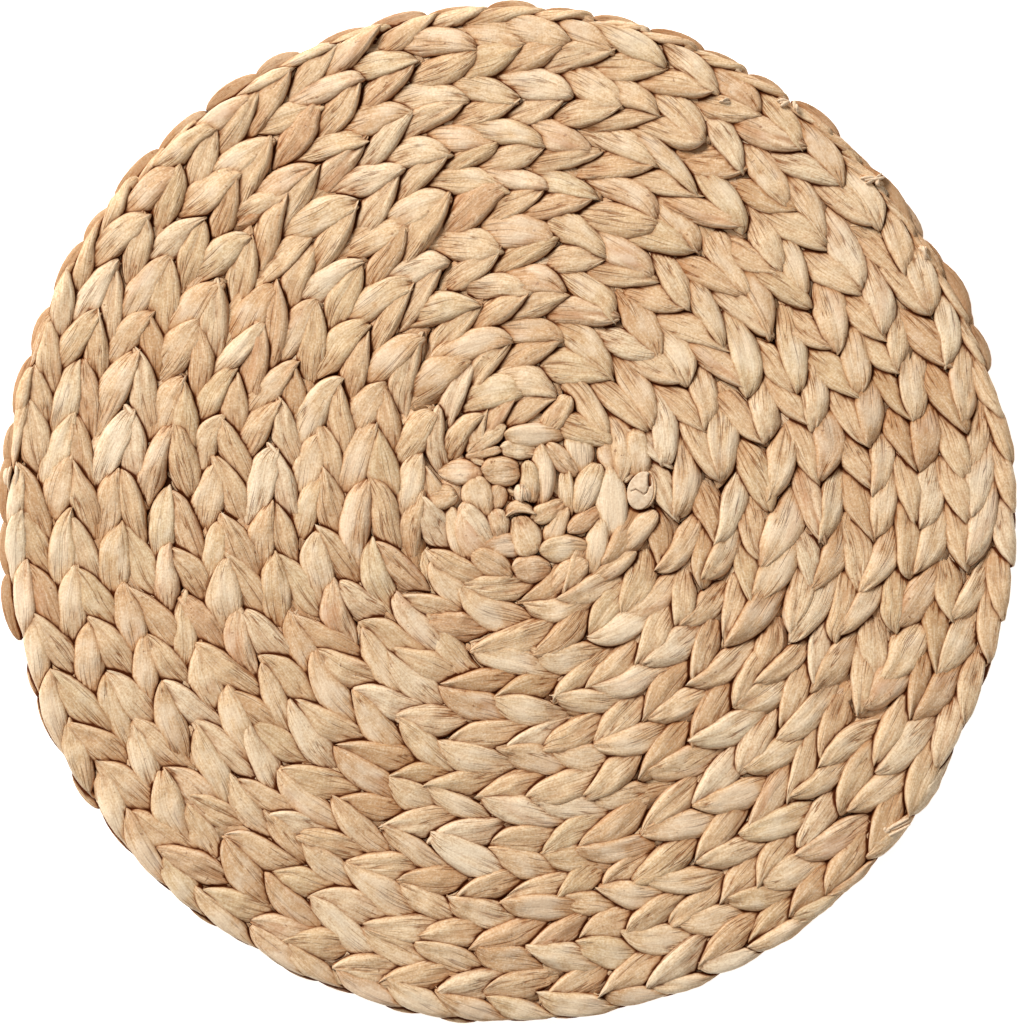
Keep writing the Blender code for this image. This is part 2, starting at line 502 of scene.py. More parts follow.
def coil_tree():
    """Sets a length of stem on every seat and bends it along its row and over the rim."""
    numbers = ("Half thickness", "Pleat depth", "Warp", "Sway", "Faces down")
    tree, graph, given, wires = new_tree("lay_along_coil", numbers)
    half_thick, pleat_depth, warp, sway, faces_down = wires
    laid = set_on_seats(graph, given)
    arm, half, radius = named(graph, "side"), named(graph, "half"), named(graph, "radius")
    along, out, _ = graph.parts(named(graph, "form", "FLOAT_VECTOR"))
    shift_along, shift_out, height = squeezed(graph, pleat_depth, warp)
    along = along * named(graph, "pitch") * named(graph, "stretch") + named(graph, "slide") + shift_along
    middle = 0.5 * half
    veer = named(graph, "veer") * (along + VEER_AT)
    out = (out * half - middle) * named(graph, "spread") + middle + named(graph, "nudge") + shift_out + veer
    height = height - named(graph, "drop")

    step = along / radius.least(HALF_ROW)
    far = radius + named(graph, "slope") * step + named(graph, "bend") * step * step / 2 + arm * out
    far = far.least(LEAST_FROM_POLE)
    turn = named(graph, "turn") + step
    x = far * turn.math("COSINE") + (POLE.x - MIDDLE.x)
    y = (POLE.y - MIDDLE.y) - far * turn.math("SINE")

    rim = named(graph, "rim")
    inside = (x * x + y * y).math("SQRT").between(rim, rim - SWAY_FADES_OVER)
    sway_x, sway_y, _ = graph.parts(graph.noise(graph.vector(x, y, 0.0), SWAY_SCALE, 1.0, "Color"))
    x = x + (sway_x - 0.5) * inside * sway
    y = y + (sway_y - 0.5) * inside * sway
    from_middle = (x * x + y * y).math("SQRT").least(0.0001)
    edge = rim - half_thick
    lean = ((from_middle - edge) / half_thick).least(0).most(MOST_LEAN)
    reach = (from_middle.most(edge) + height * lean.math("SINE")) / from_middle
    up = half_thick + height * lean.math("COSINE") * (1 - 2 * faces_down)
    up = up.least((1 - faces_down) * named(graph, "drop") + LEAST_ABOVE_FLOOR)
    place = graph.vector(x * reach + MIDDLE.x, y * reach + MIDDLE.y, up)
    finish_lengths(graph, given, laid, place, (arm * (1 - 2 * faces_down)).math("GREATER_THAN", 0.0))
    return tree


def grown(piece, tree, inputs):
    """Runs a tree on an object, with inputs by name, and leaves the result as its plain mesh."""
    modifier = piece.modifiers.new("made", "NODES")
    modifier.node_group = tree
    for socket in tree.interface.items_tree:
        if socket.in_out == "INPUT" and socket.name in inputs:
            modifier[socket.identifier] = inputs[socket.name]
    scene_graph = bpy.context.evaluated_depsgraph_get()
    mesh = bpy.data.meshes.new_from_object(
        piece.evaluated_get(scene_graph), preserve_all_data_layers=True, depsgraph=scene_graph
    )
    piece.modifiers.remove(modifier)
    piece.data = mesh
    return piece


def srgb(red, green, blue):
    """A colour given in 0 to 255, as the shader's own linear values."""
    linear = [((value / 255 + 0.055) / 1.055) ** 2.4 for value in (red, green, blue)]
    return (*linear, 1.0)


def blend(graph, factor, first, second):
    """A mix of two colours."""
    settings = {"data_type": "RGBA", "blend_type": "MIX", "clamp_factor": True}
    return graph.add("ShaderNodeMix", settings, {0: factor, 6: first, 7: second}, 2)


def bare_material(name):
    """A material without nodes, and the graph that fills it."""
    material = bpy.data.materials.new(name)
    material.use_nodes = True
    material.node_tree.nodes.clear()
    return material, Graph(material.node_tree)


def attribute(graph, name, out="Fac"):
    return graph.add("ShaderNodeAttribute", {"attribute_name": name}, None, out)


# The stem's colour from the brownest length to the palest.
STRAW_TONES = (
    (0.00, srgb(205, 165, 122)), (0.12, srgb(219, 181, 138)), (0.40, srgb(229, 195, 153)),
    (0.66, srgb(226, 192, 149)), (0.88, srgb(233, 203, 163)), (1.00, srgb(238, 212, 176)),
)  # fmt: skip


def stem_skin():
    """Dried stem: straw to tan by the length, streaked along its fibres, with painted shade in its folds,
    along its edges and in the creases, and a painted highlight on the ridges.
    """
    material, graph = bare_material("dried_stem_skin")
    share, side_of_length, _ = graph.parts(attribute(graph, "fibre", "Vector"))
    tone, stain = attribute(graph, "tone"), attribute(graph, "stain")
    own = tone * 61.0 + attribute(graph, "side") * 7.0
    base = graph.add("ShaderNodeValToRGB", {"stops": STRAW_TONES}, {"Fac": tone})
    streak = graph.noise(graph.vector(share * 2.2, side_of_length * 12.0, own), 1.0, 5.0)
    crinkle = graph.noise(graph.vector(share * 20.0, side_of_length * 10.0, own + 20.0), 1.0, 4.0)
    patch = graph.noise(graph.vector(share * 2.6, side_of_length * 1.3, own + 9.0), 1.0, 2.0)
    place = graph.add("ShaderNodeTexCoord", None, None, "Object")
    mottle = graph.noise(place, 1300.0, 3.0)
    speck = graph.noise(place, 560.0, 1.0).between(0.715, 0.76) * stain.between(0.35, 0.75)
    rosy = patch.between(0.54, 0.70) * stain.between(0.45, 0.95)
    # Browner towards both ends: partly the stem's own colour, partly painted shade where each length dives
    # under its neighbours.
    ends = share.between(0.55, 0.25).math("MAXIMUM", share.between(0.80, 1.0)) * patch.between(0.30, 0.60)
    folded = folds(graph, share, side_of_length, own)
    # Painted shade along both edges of each length, where it meets its neighbours in a crease. It fades out
    # at the rim.
    edge_shade = abs(side_of_length).between(0.76, 1.0) * attribute(graph, "inside")
    hollow = attribute(graph, "hollow")
    # In order: rosier and greener lengths, marks of the fibre, stains, browner ends (their own colour and
    # painted shade where they dive), darker slivers, painted shade in the folds and along the edges, then a
    # painted highlight on the relief's ridges and painted shade in its creases.
    for amount, colour in (
        (stain.between(0.78, 1.0) * 0.25, srgb(214, 160, 124)),
        (stain.between(0.25, 0.0) * 0.30, srgb(196, 176, 130)),
        (streak.between(0.50, 0.70) * 0.40, srgb(184, 140, 98)),
        (streak.between(0.48, 0.32) * 0.30, srgb(250, 230, 200)),
        (crinkle.between(0.50, 0.74) * 0.45, srgb(176, 128, 86)),
        (crinkle.between(0.46, 0.28) * 0.22, srgb(252, 234, 206)),
        (mottle.between(0.50, 0.72) * 0.42, srgb(176, 126, 82)),
        (mottle.between(0.48, 0.28) * 0.34, srgb(255, 236, 208)),
        (speck * 0.6, srgb(120, 66, 34)),
        (rosy * 0.45, srgb(186, 124, 84)),
        (ends * 0.46, srgb(178, 122, 76)),
        (attribute(graph, "shade") * 0.6, srgb(142, 92, 52)),
        # Painted shade in the grooves of the folds, with less of it on the single lengths.
        (folded * (0.78 - 0.36 * attribute(graph, "lift")), srgb(126, 64, 16)),
        (edge_shade * 0.46, srgb(146, 80, 24)),
        # Painted highlight where a point stands above the mat's face round about it, and painted shade, tan
        # then dark brown, where it lies below that face in a crease.
        (hollow.between(-0.0001, -0.0008) * 0.34, srgb(255, 238, 212)),
        (hollow.between(-0.0001, 0.0004) * 0.60, srgb(146, 80, 20)),
        (hollow.between(0.0002, 0.0006) * 0.98, srgb(80, 31, 3)),
    ):
        base = blend(graph, amount, base, colour)

    fibres = graph.noise(graph.vector(share * 3.0, side_of_length * 26.0, own + 5.0), 1.0, 2.0)
    groove = fibres * 0.4 + crinkle * 0.7 + mottle * 0.4 - folded
    bump = graph.add("ShaderNodeBump", None, {"Strength": 0.6, "Distance": 0.0004, "Height": groove})
    shader = graph.add(
        "ShaderNodeBsdfPrincipled",
        None,
        {
            "Base Color": base,
            "Roughness": fibres * 0.25 + 0.5,
            "Normal": bump,
            "Specular IOR Level": 0.05,
        },
    )
    graph.add("ShaderNodeOutputMaterial", None, {"Surface": shader})
    return material


# The height map of the mat: how far it reaches, its cell, how many cells each way it is averaged over, and
# how far in from the rim's line nothing counts as a hollow.
MAP_REACH = 0.195
MAP_CELL = 0.0004
MAP_BLUR = 3
RIM_HAS_NO_HOLLOWS = 0.0014


def point_values(points, field, axes):
    """Reads a number or a vector from each point of a mesh."""
    values = np.empty(len(points) * axes, np.float32)
    points.foreach_get(field, values)
    return values.reshape(-1, axes)


def map_cell(places):
    return ((places[:, :2] + MAP_REACH) / MAP_CELL).astype(int).T


# The depths stored here feed the painted shade in the creases and the painted highlight on the ridges.
def mark_hollows(pieces, share=1.0, upright=1):
    """Stores on every point how far it lies below the mat's face round about it, from their height map."""
    turns = range(360)
    rim_line = np.array([round_table(RIM_RADIUS, turn) + round_table(PAST_RIM_LINE, turn) for turn in turns])
    cells = int(2 * MAP_REACH / MAP_CELL)
    top = np.zeros((cells, cells))
    found = []
    for piece in pieces:
        mesh = piece.data
        places = point_values(mesh.vertices, "co", 3).astype(float)
        places[:, 2] = HALF_THICK + upright * (places[:, 2] - HALF_THICK)
        facing = point_values(mesh.vertex_normals, "vector", 3)
        away = places[:, :2] - np.array(MIDDLE)
        degrees = np.degrees(np.arctan2(-away[:, 1], away[:, 0])).astype(int) % 360
        inside = (rim_line[degrees] - np.hypot(*away.T) - RIM_HAS_NO_HOLLOWS) / RIM_HAS_NO_HOLLOWS
        inside = np.clip(inside, 0, 1)
        found.append((places, np.clip(1 + upright * facing[:, 2] * 5, 0, 1), inside))
        corners = np.array([(*polygon.vertices, polygon.vertices[2])[:4] for polygon in mesh.polygons])
        a, b, c, d = (places[corner] for corner in corners.T)
        for first in (0.0, 0.33, 0.67):
            for second in (0.0, 0.2, 0.4, 0.6, 0.8):
                spot = (a * (1 - first) + d * first) * (1 - second) + (b * (1 - first) + c * first) * second
                np.maximum.at(top, tuple(map_cell(spot)), spot[:, 2])
    for _ in range(2):
        grown_top = np.maximum.reduce([np.roll(top, step, axis) for axis in (0, 1) for step in (-1, 1)])
        top = np.where(top == 0, grown_top, top)
    around = top
    for axis in (0, 1):
        shifted = [np.roll(around, step, axis) for step in range(-MAP_BLUR, MAP_BLUR + 1)]
        around = sum(shifted) / len(shifted)
    for piece, (places, faces_out, inside) in zip(pieces, found):
        below = around[tuple(map_cell(places))] - places[:, 2]
        store(piece.data, "hollow", share * faces_out * inside * below)
        store(piece.data, "inside", inside)


SKIN = stem_skin()
COIL_TREE = coil_tree()
FIBRE_SEED = 11
fine_length = stem_length("fine_length", ARM_INNER_EDGE, ARM_OUTER_EDGE, ARM_CROWN, 30, 17, 3)
# Which turns of the coil each piece holds, by their distance from the pole.
TURNS = (
    ("coil_inner_turns", 0.0, 0.086),
    ("coil_middle_turns", 0.086, 0.120),
    ("coil_outer_turns", 0.120, 0.146),
    ("coil_turns_inside_rim", 0.146, 0.168),
    ("coil_rim_turns", 0.168, 0.3),
)
top_pieces = []
for name, nearest, furthest in TURNS:
    piece = grown(
        seats(name, PAST_RIM_ON_TOP, nearest, furthest, UNDER_ROSETTE),
        COIL_TREE,
        {
            "Stem length": fine_length,
            "Skin": SKIN,
            "Seed": FIBRE_SEED,
            "Half thickness": HALF_THICK,
            "Pleat depth": 0.0003,
            "Warp": 0.0028,
            "Sway": SWAY,
            "Faces down": 0.0,
        },
    )
    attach(piece, "root")
    top_pieces.append(piece)
bpy.data.objects.remove(fine_length)

# The rosette: where the coil starts, the plait's first lengths are packed every way round the pole, some on
# edge, with a band arched over one of them. Each is one puffy length of the same stem.
# Root and tip from the middle of the mat, width and bow to the left in millimetres, then the height's share.
ROSETTE = (
    (19.7, 27.9, -1.1, 27.2, 9.5, 0.0, 1.00), (11.0, 21.7, -2.9, 23.2, 8.0, 0.0, 0.97),
    (-15.3, 20.3, -2.9, 22.8, 5.1, 0.0, 0.93), (-14.2, 19.5, -7.7, 17.0, 3.7, 0.0, 0.90),
    (3.7, 14.8, -9.5, 15.2, 11.0, 0.0, 0.99), (-25.2, 14.8, -9.5, 15.2, 9.5, 0.0, 0.97),
    (-9.1, -2.0, -13.1, 12.6, 11.7, 0.0, 1.02), (-7.6, -0.9, -2.9, 10.0, 8.4, 0.0, 0.86),
    (8.4, 3.8, 6.6, 18.4, 7.7, 0.0, 0.95), (11.7, 2.0, 11.0, 24.3, 8.8, -0.7, 1.03),
    (24.8, 13.3, 13.5, 24.6, 8.0, 0.0, 0.96), (26.7, 12.6, 23.7, 33.8, 10.6, 0.0, 0.98),
    (21.9, -2.4, 20.8, 15.2, 6.2, 0.0, 0.96), (24.8, -0.5, 32.1, 17.0, 10.6, 0.0, 1.01),
    (38.0, -13.0, 36.1, 15.5, 12.0, 0.0, 1.00), (41.6, 9.3, 34.7, 26.8, 10.6, 0.0, 0.88),
    (47.1, 11.1, 45.6, 30.1, 11.3, 0.0, 1.05), (20.1, 3.1, 8.8, -2.7, 7.7, 0.0, 0.98),
    (13.1, -15.2, 20.1, 1.3, 8.0, 0.0, 0.96), (33.2, 1.3, 21.9, -7.1, 8.0, 0.0, 0.98),
    (29.6, -22.5, 33.2, -2.4, 9.1, 0.0, 0.97), (37.6, -15.2, 52.9, 0.2, 10.2, 0.0, 1.03),
    (29.6, -25.4, 45.3, -14.4, 7.3, 0.0, 0.97), (28.5, -13.0, 11.7, -14.8, 11.0, 0.0, 1.01),
    (15.0, -21.0, 1.5, -21.4, 10.2, 0.0, 0.99), (10.4, -12.2, -13.4, -14.0, 9.4, -0.8, 0.97),
    (3.4, -1.6, 8.6, -15.6, 11.4, 0.0, 1.06), (-2.6, -10.5, -5.5, 0.5, 9.4, 0.0, 0.90),
    (-6.0, -12.8, -16.2, 2.6, 8.8, 0.0, 1.03), (-15.0, -20.0, -21.6, 1.6, 8.6, 0.0, 0.92),
    (1.1, -23.9, -13.1, -14.8, 11.0, 0.0, 1.00), (-31.0, 4.9, -19.7, 6.4, 9.5, 0.0, 0.96),
    (15.7, -29.0, 27.7, -17.7, 10.2, 0.0, 1.00), (-2.6, -2.4, 9.6, 0.2, 5.0, 3.4, 1.12),
    (46.7, 14.8, 42.0, 11.5, 3.7, 0.0, 0.98),
    (-15.0, 22.1, -1.8, 31.2, 7.3, 0.0, 0.96), (13.5, 29.4, 21.5, 41.4, 9.5, 0.0, 0.95),
)  # fmt: skip
# A single length, from root to tip: its two edges in lengths and widths, and its crown.
LONE_EDGE = ((-0.05, 0.0), (-0.08, 0.62), (1.06, 0.80), (1.05, 0.0))
LONE_CROWN = (
    (0.00, -0.0010), (0.05, 0.0018), (0.16, 0.0034), (0.45, 0.0046), (0.78, 0.0047), (0.93, 0.0036),
    (1.00, -0.0010),
)  # fmt: skip
# The table gives the width that shows between the neighbours, which is a little less than the length's own.
LONE_WIDER = 1.08


def lone_tree():
    """Sets a single length of stem on every seat, turned and sized by the seat's own attributes."""
    tree, graph, given, (half_thick, pleat_depth, warp) = new_tree(
        "lay_single_lengths", ("Half thickness", "Pleat depth", "Warp")
    )
    laid = set_on_seats(graph, given)
    root_x, root_y, raised = graph.parts(named(graph, "root", "FLOAT_VECTOR"))
    ahead_x, ahead_y, width = graph.parts(named(graph, "ahead", "FLOAT_VECTOR"))
    bow, lift = named(graph, "bow"), named(graph, "lift")
    along, out, _ = graph.parts(named(graph, "form", "FLOAT_VECTOR"))
    shift_along, shift_out, height = squeezed(graph, pleat_depth, warp)
    length = (ahead_x * ahead_x + ahead_y * ahead_y).math("SQRT")
    forward = along + shift_along / length
    aside = (out * width + bow * 4 * along * (1 - along) + shift_out) / length
    place = graph.vector(
        root_x + ahead_x * forward - ahead_y * aside,
        root_y + ahead_y * forward + ahead_x * aside,
        half_thick + raised + height * lift,
    )
    finish_lengths(graph, given, laid, place, named(graph, "side").math("GREATER_THAN", 0.0))
    return tree


def lone_seats(name, lengths, raised=0.0, shade=0.0):
    """Seats for single lengths, given in millimetres as in ROSETTE."""
    mesh = bpy.data.meshes.new(name)
    table = np.array(lengths) * 0.001
    mesh.from_pydata([(x, y, 0) for x, y in table[:, :2]], [], [])
    even = np.ones(len(table))
    store(mesh, "root", np.column_stack((table[:, :2], even * raised)))
    store(mesh, "ahead", np.column_stack((table[:, 2:4] - table[:, :2], table[:, 4] * LONE_WIDER)))
    store(mesh, "bow", table[:, 5])
    store(mesh, "lift", table[:, 6] * 1000)
    store(mesh, "side", even)
    store(mesh, "shade", even * shade)
    return placed(name, mesh)


def mirrored(edge):
    return tuple((along, -out) for along, out in edge)


LONE_TREE = lone_tree()


def lone_piece(places, points, skin, seed, pleat_depth, warp):
    """Lays a single length on every seat. points are its stations, and its sides on top and below."""
    length = stem_length("single_length", mirrored(LONE_EDGE), LONE_EDGE, LONE_CROWN, *points)
    inputs = {
        "Stem length": length,
        "Skin": skin,
        "Seed": seed,
        "Half thickness": HALF_THICK,
        "Pleat depth": pleat_depth,
        "Warp": warp,
    }
    piece = grown(places, LONE_TREE, inputs)
    bpy.data.objects.remove(length)
    return piece


rosette = lone_piece(
    lone_seats("pole_rosette", ROSETTE), (20, 24, 4), SKIN, seed=23, pleat_depth=0.0003, warp=0.0018
)
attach(rosette, "root")
top_pieces.append(rosette)

# The slivers: narrow, stained lengths of the same stem that lie along the rim between the mat's two faces,
# each lapping the next. From the left round over the top they show past the rim as thin, darker edges, and
# three broad ones stick out there. Elsewhere they are tucked in.
SLIVER_TURNS = (160, 345)
SLIVER_STEP = (5.0, 8.0)
# How far out from the rim's line they lie where they show from above and where they are tucked away.
SLIVER_OUT = (-0.0026, -0.0012)
SLIVER_TUCKED = (-0.0062, -0.0050)
SLIVER_SIZE_MM = ((16.0, 24.0), (5.0, 6.6))
SLIVER_LEVEL = -0.0022
SLIVER_BOW_MM = 0.6
SLIVER_SHADE = 0.7
TUCKED_SHADE = 0.1
MEAN_RADIUS = 0.185
# Root and tip, width and bow in millimetres, as in ROSETTE, for the broad ones.
BROAD_SLIVERS = (
    (130.3, 125.8, 146.5, 104.0, 4.6, 2.2, 0.80),
    (154.5, 92.5, 167.6, 70.0, 5.6, 2.6, 0.72),
    (-124.0, 133.0, -111.0, 145.5, 4.6, 1.6, 0.74),
)
chance = random.Random(5)
slivers = list(BROAD_SLIVERS)
shades = [SLIVER_SHADE] * len(slivers)
degrees = 0.0
while degrees < 360.0:
    span, width = (chance.uniform(*size) for size in SLIVER_SIZE_MM)
    shows = SLIVER_TURNS[0] <= degrees < SLIVER_TURNS[1]
    out = chance.uniform(*(SLIVER_OUT if shows else SLIVER_TUCKED)) + round_table(PAST_RIM_LINE, degrees)
    ends = []
    for turn in (degrees, degrees + math.degrees(span * 0.001 / MEAN_RADIUS)):
        ends.extend((MIDDLE + turned(turn, round_table(RIM_RADIUS, turn) + out)) * 1000)
    slivers.append((*ends, width, SLIVER_BOW_MM, chance.uniform(0.3, 0.7)))
    shades.append(SLIVER_SHADE if shows else TUCKED_SHADE)
    degrees += chance.uniform(*SLIVER_STEP)
sliver_seats = lone_seats("rim_slivers", slivers, raised=SLIVER_LEVEL, shade=np.array(shades))
rim_slivers = lone_piece(sliver_seats, (12, 12, 4), SKIN, seed=41, pleat_depth=0.0003, warp=0.0012)
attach(rim_slivers, "root")
top_pieces.append(rim_slivers)


# The frayed ends: short, pale fibres of the stem's own pith, where a stem was trimmed or wound round, at the
# pole and at the rim.
def pith_material():
    material, graph = bare_material("dried_pith")
    place = graph.add("ShaderNodeTexCoord", None, None, "Object")
    grain = graph.noise(place, 900.0, 3.0)
    colour = blend(graph, grain.between(0.35, 0.65), srgb(212, 180, 146), srgb(234, 208, 176))
    # Painted shade, dark brown, where the pith lies below the mat's face round about it, as in the cut end's
    # crack and slit.
    hollow_shade = attribute(graph, "hollow").between(0.0002, 0.0010) * 0.95
    colour = blend(graph, hollow_shade, colour, srgb(88, 44, 16))
    shader = graph.add("ShaderNodeBsdfPrincipled", None, {"Base Color": colour, "Roughness": 0.8})
    graph.add("ShaderNodeOutputMaterial", None, {"Surface": shader})
    return material


PITH = pith_material()
# Middle of each tuft in millimetres, its heading and spread in degrees, how many fibres, then their length
# and width in millimetres.
TUFTS = (
    (4.9, 6.9, -76, 20, 15, 5.6, 0.8),
    (132.0, 121.5, 195, 20, 3, 6.5, 1.7),
    (134.5, 119.5, 120, 60, 3, 3.0, 1.3),
    (151.0, 94.5, 125, 35, 4, 5.0, 1.2),
    (141.0, -114.8, 22, 7, 3, 9.5, 1.6),
    (137.5, -116.2, 60, 50, 3, 2.6, 1.8),
    (-181.5, 12.5, 85, 8, 3, 8.0, 1.8),
    (100.0, 149.4, 200, 30, 4, 4.5, 1.5),
    (104.5, 147.6, 250, 40, 3, 3.5, 1.4),
    (79.0, 149.3, 170, 35, 3, 3.2, 1.3),
)
# Two broad bits of pith lie under the tuft at the pole, as in ROSETTE.
BROAD_FIBRES = ((3.4, 9.8, 4.4, 3.8, 4.4, 0.0, 0.90), (6.8, 9.2, 6.6, 4.2, 3.6, 0.0, 0.88))
FIBRES_RAISED = 0.0008
# The frayed ends keep this share of their depth below the face, so they take less painted shade.
HOLLOWS_IN_FIBRES = 0.15
chance = random.Random(8)
fibres = list(BROAD_FIBRES)
for x, y, heading, spread, count, long, wide in TUFTS:
    for _ in range(count):
        turn = math.radians(heading + chance.uniform(-spread, spread))
        half = long * chance.uniform(0.35, 0.6)
        at = (x + chance.gauss(0, long * 0.1), y + chance.gauss(0, long * 0.1))
        reach = (half * math.cos(turn), half * math.sin(turn))
        ends = (at[0] - reach[0], at[1] - reach[1], at[0] + reach[0], at[1] + reach[1])
        width = wide * chance.uniform(0.7, 1.3)
        bow = chance.uniform(-0.5, 0.5)
        fibres.append((*ends, width, bow, chance.uniform(0.9, 1.06)))
fibre_seats = lone_seats("frayed_ends", fibres, raised=FIBRES_RAISED)
frayed_ends = lone_piece(fibre_seats, (6, 4, 2), PITH, seed=67, pleat_depth=0.0, warp=0.0006)
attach(frayed_ends, "root")

# The cut end: a stem sliced off square beside the rosette, standing in the plait. Its pale pith has a fine
# crack that runs into a dark slit at the upper right, and its skin curls round it, thick on the right.
STUB_MIDDLE = Vector((0.0482, 0.0076))
STUB_HALF_AXES = (0.0052, 0.0072)
STUB_TURN = math.radians(-12)
STUB_TOP = 0.0101
STUB_FOOT = 0.0050
STUB_SIDES = 96
STUB_RINGS = 24
STUB_POINT_AT = math.radians(82)
STUB_POINT = 0.16
# From the middle of the cut end: the crack, and the slit that it runs into.
STUB_CRACK = (
    (-0.0036, 0.0000), (-0.0020, 0.0006), (-0.0002, -0.0004), (0.0009, -0.0013), (0.0020, -0.0004),
    (0.0029, 0.0020),
)  # fmt: skip
STUB_SLIT = ((0.0030, 0.0024), (0.0030, 0.0056))
# Each as a line, its depth and its width.
STUB_SPLITS = ((STUB_CRACK, 0.0007, 0.00028), (STUB_SLIT, 0.0022, 0.00055))
PITH_SHIFT = (-0.0003, -0.0002)
# Rings of the pith up to the edge of the cut: the share of the oval and of the height. The cut's own face
# starts inside them, bulges by this share of the height and is a little rough.
PITH_WALL = ((0.93, 0.0), (0.93, 0.7), (0.925, 0.84), (0.905, 0.93))
PITH_FACE = 0.88
PITH_BULGE = 0.09
PITH_ROUGH = 0.00022
# Rings of the skin, from outside over its edge and down inside: the share of its wall, and of the height.
SKIN_WALL = ((0.0, 0.0), (0.0, 0.8), (0.25, 1.0), (0.7, 1.02), (1.0, 0.85), (1.0, 0.0))
# Its outside and its thickness in shares of the oval, on the left, and how much more on the right.
SKIN_OUTSIDE = (0.95, 0.13)
SKIN_THICKNESS = (0.06, 0.20)
SKIN_LOWER_ON_LEFT = 0.0014


def stub_spot(angle, scale, shift=(0.0, 0.0)):
    """A point at this share of the cut end's oval, which runs out to a point at its top."""
    scale *= 1 + STUB_POINT * max(math.cos(angle - STUB_POINT_AT), 0) ** 5
    x = STUB_HALF_AXES[0] * scale * math.cos(angle) + shift[0]
    y = STUB_HALF_AXES[1] * scale * math.sin(angle) + shift[1]
    cos, sin = math.cos(STUB_TURN), math.sin(STUB_TURN)
    return STUB_MIDDLE.x + x * cos - y * sin, STUB_MIDDLE.y + x * sin + y * cos


def off_line(spot, line):
    """How far a spot lies from a line of straight stretches."""
    gaps = []
    for start, end in zip(line, line[1:]):
        start, along = Vector(start), Vector(end) - Vector(start)
        share = min(max((spot - start).dot(along) / along.length_squared, 0), 1)
        gaps.append((spot - start - along * share).length)
    return min(gaps)


def ring_mesh(name, rings, closed):
    """Joins rings of points in order. A closed set of rings joins its last ring to its first."""
    count = len(rings[0])
    points = [point for ring in rings for point in ring]
    faces = []
    for ring in range(len(rings) - (0 if closed else 1)):
        start, below = ring * count, (ring + 1) % len(rings) * count
        for side in range(count):
            after = (side + 1) % count
            faces.append((start + side, start + after, below + after, below + side))
    if not closed:
        faces.append(tuple(range(count - 1, -1, -1)))
        faces.append(tuple(range((len(rings) - 1) * count, len(rings) * count)))
    mesh = bpy.data.meshes.new(name)
    mesh.from_pydata(points, [], faces)
    mesh.polygons.foreach_set("use_smooth", [True] * len(faces))
    mesh.update()
    return mesh


def stub_pith():
    """The pith as rings from its foot up over the edge and in to the middle."""
    lines = list(PITH_WALL)
    for step in range(STUB_RINGS):
        inwards = step / STUB_RINGS
        lines.append((PITH_FACE * (1 - inwards) + 0.01, 0.97 + PITH_BULGE * (1 - (1 - inwards) ** 3)))
    rings = []
    for scale, height in lines:
        ring = []
        for side in range(STUB_SIDES):
            x, y = stub_spot(math.tau * side / STUB_SIDES, scale, PITH_SHIFT)
            up = STUB_FOOT + (STUB_TOP - STUB_FOOT) * height
            if height > 0.9:
                spot = Vector((x, y)) - STUB_MIDDLE
                for line, depth, width in STUB_SPLITS:
                    up -= depth * math.exp(-((off_line(spot, line) / width) ** 2))
                up += PITH_ROUGH * math.sin(spot.x * 900 + 1) * math.sin(spot.y * 700)
            ring.append((x, y, up))
        rings.append(ring)
    return ring_mesh("cut_end_pith", rings, closed=False)


def stub_skin():
    """The skin round the pith: a wall that is thick on the right and thin on the left."""
    rings = []
    for inset, height in SKIN_WALL:
        ring = []
        for side in range(STUB_SIDES):
            angle = math.tau * side / STUB_SIDES
            right = max(math.cos(angle - 0.2), 0)
            outside, wall = (left + more * right for left, more in (SKIN_OUTSIDE, SKIN_THICKNESS))
            x, y = stub_spot(angle, outside - wall * inset)
            top = STUB_TOP - SKIN_LOWER_ON_LEFT * (1 - right)
            ring.append((x, y, STUB_FOOT + (top - STUB_FOOT) * height))
        rings.append(ring)
    return ring_mesh("cut_end_skin", rings, closed=True)


# The chances that the lengths of the plait get from their seats are fixed here.
STUB_LOOK = (("tone", 0.35), ("stain", 0.5), ("side", 1.0))
for mesh, material in ((stub_pith(), PITH), (stub_skin(), SKIN)):
    piece = placed(mesh.name, mesh)
    mesh.materials.append(material)
    for key, value in STUB_LOOK:
        store(mesh, key, [value] * len(mesh.vertices))
    points = mesh.vertices
    store(mesh, "fibre", [((p.co.z - STUB_FOOT) * 100, math.sin(p.index * 0.13), 1.0) for p in points])
    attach(piece, "root")
    top_pieces.append(piece)
mark_hollows(top_pieces)
mark_hollows([frayed_ends], HOLLOWS_IN_FIBRES)
top_pieces.append(frayed_ends)

# The underside: the same plait from below, with its own crowns to rest on. Less of it is ever seen, so its
# lengths are coarser.
PAST_RIM_BELOW = 0.0005
coarse_length = stem_length("coarse_length", ARM_INNER_EDGE, ARM_OUTER_EDGE, ARM_CROWN, 8, 8, 2)
underside = grown(
    seats("coil_underside", PAST_RIM_BELOW, 0.0, 0.3, 0.0),
    COIL_TREE,
    {
        "Stem length": coarse_length,
        "Skin": SKIN,
        "Seed": FIBRE_SEED + len(UNEVEN),
        "Half thickness": HALF_THICK,
        "Pleat depth": 0.0004,
        "Warp": 0.0016,
        "Sway": SWAY,
        "Faces down": 1.0,
    },
)
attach(underside, "root")
mark_hollows([underside], upright=-1)
bpy.data.objects.remove(coarse_length)

# The core: the hidden lengths of stem between both faces, a thin flat disc coloured with painted shade. It
# only shows as brown shadow down in the small holes between the lengths, and is less dark near the rim.
CORE_INSET = 0.0050
CORE_SIDES = 180
CORE_HALF = 0.0006
# Its rings from the top round the edge to the underside: the share of its radius, and of half its thickness.
CORE_RINGS = ((0.5, 1), (0.985, 1), (1.0, 1 / 3), (1.0, -1 / 3), (0.985, -1), (0.5, -1))
CORE_SHADE_BROWNS = (srgb(66, 30, 8), srgb(36, 14, 4))
CORE_LESS_SHADE_AT_RIM = srgb(112, 66, 32)
LIGHTER_FROM, LIGHTER_TO = 0.168, 0.178


